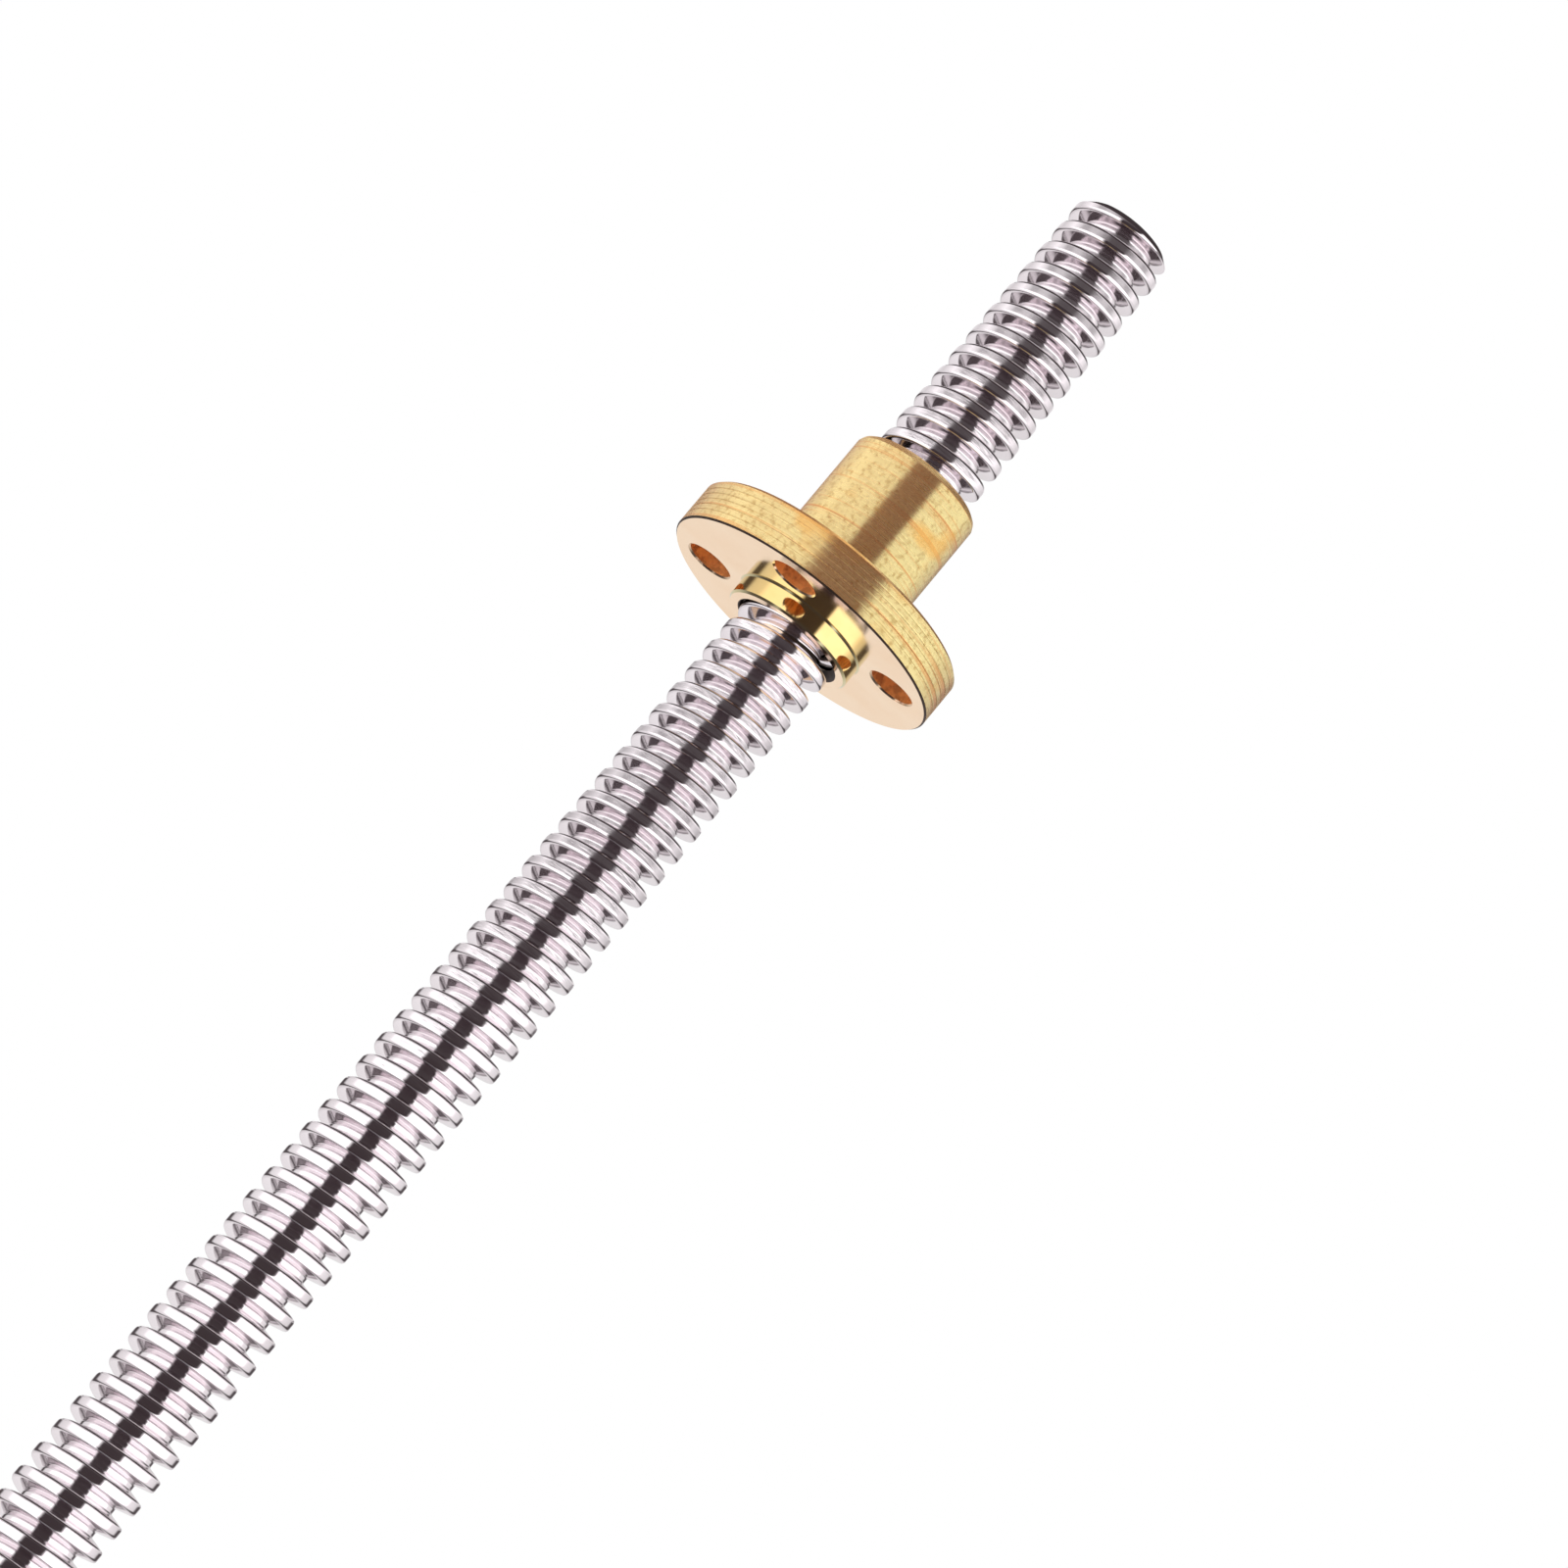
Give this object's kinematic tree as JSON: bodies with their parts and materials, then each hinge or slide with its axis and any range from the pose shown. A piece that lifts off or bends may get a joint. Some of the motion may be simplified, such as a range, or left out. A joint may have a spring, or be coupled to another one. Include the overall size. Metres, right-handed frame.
{
  "type": "stepper motor with lead screw",
  "caption": "Square-framed stepper motor whose shaft is a long trapezoidal lead screw carrying a round flanged brass nut that travels as the rotor turns.",
  "frame": {"origin": "centre of the motor's flat rear face", "axes": "+Z runs along the screw from the motor to its free end; -Y is the side with the connector"},
  "size_m": [0.0424, 0.0458, 0.19],
  "materials": {
    "cast_aluminium": "die-cast aluminium, machined face and pilot",
    "laminations": "stacked electrical steel, dark varnish",
    "enamelled_wire": null,
    "bobbin_plastic": "off-white moulded nylon",
    "socket_plastic": "off-white moulded nylon",
    "board": "green fibreglass board",
    "tinned_pin": "tinned square pin",
    "screw_steel": "polished rolled steel thread",
    "nut_brass": "turned brass, fine turning lines",
    "magnet": "nickel-plated sintered magnet",
    "bushing_brass": "plain brass",
    "zinc_steel": "bright zinc-plated steel",
    "bearing_steel": "ground bearing steel"
  },
  "bodies": {
    "motor": {"coil_1": "enamelled_wire", "coil_2": "enamelled_wire", "coil_3": "enamelled_wire", "coil_4": "enamelled_wire", "coil_5": "enamelled_wire", "coil_6": "enamelled_wire", "coil_7": "enamelled_wire", "coil_8": "enamelled_wire", "connector_housing": "socket_plastic", "connector_pin_1": "tinned_pin", "connector_pin_2": "tinned_pin", "connector_pin_3": "tinned_pin", "connector_pin_4": "tinned_pin", "front_bearing_front_shield": "zinc_steel", "front_bearing_rear_shield": "zinc_steel", "front_end_cap": "cast_aluminium", "front_insulator": "bobbin_plastic", "front_outer_race": "bearing_steel", "motor_screw_1": "zinc_steel", "motor_screw_2": "zinc_steel", "motor_screw_3": "zinc_steel", "motor_screw_4": "zinc_steel", "rear_bearing_front_shield": "zinc_steel", "rear_bearing_rear_shield": "zinc_steel", "rear_end_cap": "cast_aluminium", "rear_insulator": "bobbin_plastic", "rear_outer_race": "bearing_steel", "stator_core": "laminations", "terminal_board": "board", "wave_washer": "zinc_steel"},
    "rotor": {"lead_screw": "screw_steel", "front_rotor_cup": "laminations", "rear_rotor_cup": "laminations", "ring_magnet": "magnet", "front_spacer": "bushing_brass", "rear_spacer": "bushing_brass", "front_inner_race": "bearing_steel", "rear_inner_race": "bearing_steel"},
    "nut": {"flanged_nut": "nut_brass"},
    "front_balls": {"front_ball_1": "bearing_steel", "front_ball_2": "bearing_steel", "front_ball_3": "bearing_steel", "front_ball_4": "bearing_steel", "front_ball_5": "bearing_steel", "front_ball_6": "bearing_steel", "front_ball_7": "bearing_steel", "front_ball_cage": "bushing_brass"},
    "rear_balls": {"rear_ball_1": "bearing_steel", "rear_ball_2": "bearing_steel", "rear_ball_3": "bearing_steel", "rear_ball_4": "bearing_steel", "rear_ball_5": "bearing_steel", "rear_ball_6": "bearing_steel", "rear_ball_7": "bearing_steel", "rear_ball_cage": "bushing_brass"}
  },
  "joints": [
    {"name": "rotor_spin", "type": "hinge", "parent": "motor", "child": "rotor", "pos_m": [0, 0, 0.0195], "axis": [0, 0, 1], "range_deg": [-3960, 19080]},
    {"name": "nut_travel", "type": "slide", "parent": "motor", "child": "nut", "axis": [0, 0, 1], "range_m": [-0.1061, 0.0221]},
    {"name": "front_ball_roll", "type": "hinge", "parent": "motor", "child": "front_balls", "pos_m": [0, 0, 0.0365], "axis": [0, 0, 1], "range_deg": [-1458.1, 7018]},
    {"name": "rear_ball_roll", "type": "hinge", "parent": "motor", "child": "rear_balls", "pos_m": [0, 0, 0.0055], "axis": [0, 0, 1], "range_deg": [-1458.1, 7018]}
  ],
  "couplings": [
    {"joint": "nut_travel", "follows": "rotor_spin", "m_per_rad": -0.00031831},
    {"joint": "front_ball_roll", "follows": "rotor_spin", "ratio": 0.36771},
    {"joint": "rear_ball_roll", "follows": "rotor_spin", "ratio": 0.36771}
  ]
}
